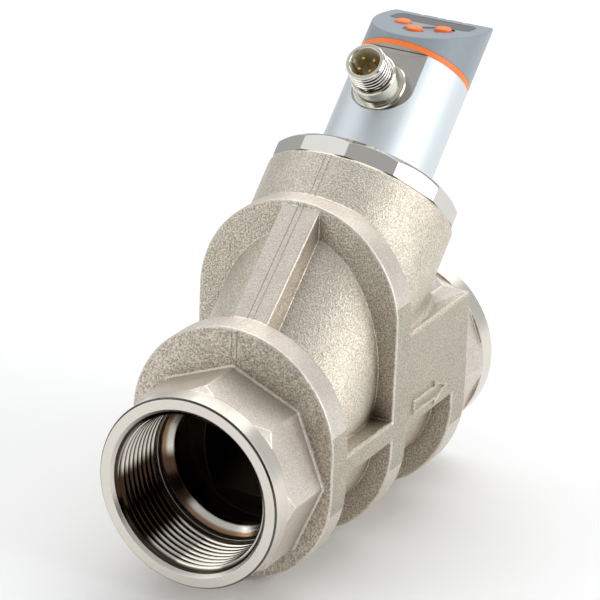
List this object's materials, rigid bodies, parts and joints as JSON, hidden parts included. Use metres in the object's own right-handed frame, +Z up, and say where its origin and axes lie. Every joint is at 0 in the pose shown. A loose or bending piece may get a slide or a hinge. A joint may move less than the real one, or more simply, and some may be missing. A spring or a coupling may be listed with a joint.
{
  "type": "flow sensor",
  "caption": "Inline flow sensor: ribbed valve body with threaded ends, slanted neck, and a swivelling head with round connector, tilted display and push buttons.",
  "frame": {"origin": "centre of the inlet face, on the flow axis", "axes": "+X along the flow towards the outlet, +Z up towards the head's side, +Y to the left when looking along the flow; the neck leans from +Z towards +X in the plane Y = 0"},
  "size_m": [0.1543, 0.0656, 0.1376],
  "materials": {
    "cast_nickel": "grainy sand casting with a satin nickel plate",
    "turned_nickel": "turned and bright nickel plated",
    "connector_nickel": "bright nickel plate",
    "stainless_tube": "satin stainless steel, turned",
    "spring_steel": "drawn stainless spring wire",
    "magnet": "plated magnet",
    "piston_plastic": "black moulded plastic, smooth",
    "guide_plastic": "natural bearing plastic",
    "seal_rubber": "black sealing rubber",
    "insert_plastic": "olive brown moulded plastic",
    "gold_contact": "gold flash",
    "circuit_laminate": "green circuit board laminate",
    "chip_black": "black moulded chip package",
    "lamp_plastic": "clear moulded lamp",
    "orange_plastic": "orange moulded plastic",
    "cap_plastic": "grey-blue moulded plastic, fine grain",
    "window_plastic": "smoked brown-grey window, glossy"
  },
  "bodies": {
    "body": {"valve_body": "cast_nickel", "seat_ring": "turned_nickel", "bonnet": "turned_nickel", "bonnet_seal": "seal_rubber", "guide_bush": "guide_plastic", "snap_ring": "spring_steel", "return_spring": "spring_steel"},
    "piston": {"piston": "piston_plastic", "piston_seal": "seal_rubber", "piston_magnet": "magnet", "magnet_clip": "guide_plastic"},
    "head": {"sensor_housing": "stainless_tube", "head_seal": "seal_rubber", "connector_shell": "connector_nickel", "connector_nut": "connector_nickel", "connector_insert": "insert_plastic", "contact_pins": "gold_contact", "main_board": "circuit_laminate", "board_holder": "guide_plastic", "field_sensors": "chip_black"},
    "display": {"accent_ring": "orange_plastic", "display_cap": "cap_plastic", "display_window": "window_plastic", "display_board": "circuit_laminate", "display_module": "chip_black", "status_lamps": "lamp_plastic", "button_mat": "seal_rubber"},
    "mode_key": {"mode_button": "orange_plastic"},
    "down_key": {"down_button": "orange_plastic"},
    "up_key": {"up_button": "orange_plastic"}
  },
  "joints": [
    {"name": "piston_slide", "type": "slide", "parent": "body", "child": "piston", "axis": [0.7071, 0, 0.7071], "range_m": [0, 0.012], "stiffness_N_per_m": 250, "springref_m": -0.02, "deforming": ["return_spring"]},
    {"name": "head_swivel", "type": "hinge", "parent": "body", "child": "head", "pos_m": [0.04, 0, 0], "axis": [0.7071, 0, 0.7071], "range_deg": [-172.5, 172.5]},
    {"name": "display_swivel", "type": "hinge", "parent": "head", "child": "display", "pos_m": [0.04, 0, 0], "axis": [0.7071, 0, 0.7071], "range_deg": [-172.5, 172.5]},
    {"name": "mode_press", "type": "slide", "parent": "display", "child": "mode_key", "axis": [-0.0924, 0, -0.9957], "range_m": [0, 0.0006], "stiffness_N_per_m": 1500, "springref_m": -0.0003},
    {"name": "down_press", "type": "slide", "parent": "display", "child": "down_key", "axis": [-0.0924, 0, -0.9957], "range_m": [0, 0.0006], "stiffness_N_per_m": 1500, "springref_m": -0.0003},
    {"name": "up_press", "type": "slide", "parent": "display", "child": "up_key", "axis": [-0.0924, 0, -0.9957], "range_m": [0, 0.0006], "stiffness_N_per_m": 1500, "springref_m": -0.0003}
  ]
}
